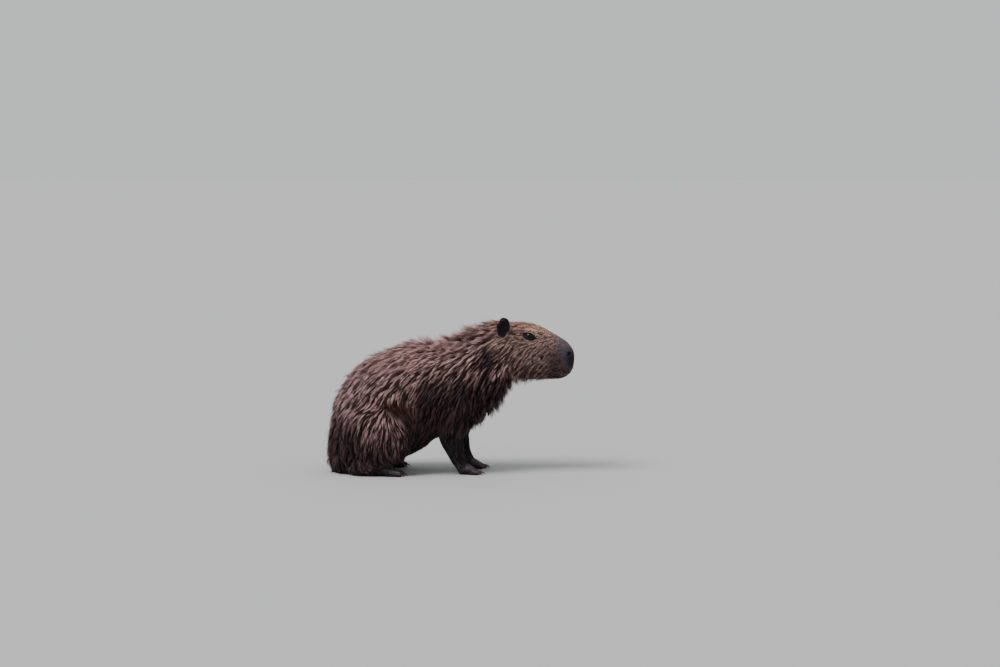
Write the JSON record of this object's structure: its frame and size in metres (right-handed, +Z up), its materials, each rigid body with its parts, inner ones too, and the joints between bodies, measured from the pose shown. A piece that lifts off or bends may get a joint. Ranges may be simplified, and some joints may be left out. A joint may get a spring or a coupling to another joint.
{
  "type": "capybara",
  "caption": "Still life-size capybara sitting on its haunches, forelegs straight, neck stretched forward and head level, with coarse brown hair.",
  "frame": {"origin": "the middle of the model's box, on the floor that it sits on", "axes": "+X the way the animal faces, +Z up, +Y to its left side"},
  "size_m": [0.8602, 0.3308, 0.546],
  "materials": {
    "trunk_coat": "coarse brown hair in damp locks",
    "face_coat": "short reddish brown hair",
    "leg_coat": "short nearly black hair",
    "ear_leather": "dark thin-haired skin",
    "eye_gloss": "wet and dark",
    "claw_horn": "dull brown horn"
  },
  "bodies": {
    "root": {"head": "face_coat", "neck": "trunk_coat", "trunk": "trunk_coat", "tail": "trunk_coat", "upper_foreleg_right": "trunk_coat", "forearm_right": "leg_coat", "forefoot_right": "leg_coat", "thigh_right": "trunk_coat", "shank_right": "leg_coat", "hindfoot_right": "leg_coat", "ear_right": "ear_leather", "eye_right": "eye_gloss", "forefoot_claw_1_right": "claw_horn", "forefoot_claw_2_right": "claw_horn", "forefoot_claw_3_right": "claw_horn", "forefoot_claw_4_right": "claw_horn", "hindfoot_claw_1_right": "claw_horn", "hindfoot_claw_2_right": "claw_horn", "hindfoot_claw_3_right": "claw_horn", "upper_foreleg_left": "trunk_coat", "forearm_left": "leg_coat", "forefoot_left": "leg_coat", "thigh_left": "trunk_coat", "shank_left": "leg_coat", "hindfoot_left": "leg_coat", "ear_left": "ear_leather", "eye_left": "eye_gloss", "forefoot_claw_1_left": "claw_horn", "forefoot_claw_2_left": "claw_horn", "forefoot_claw_3_left": "claw_horn", "forefoot_claw_4_left": "claw_horn", "hindfoot_claw_1_left": "claw_horn", "hindfoot_claw_2_left": "claw_horn", "hindfoot_claw_3_left": "claw_horn"}
  },
  "joints": []
}
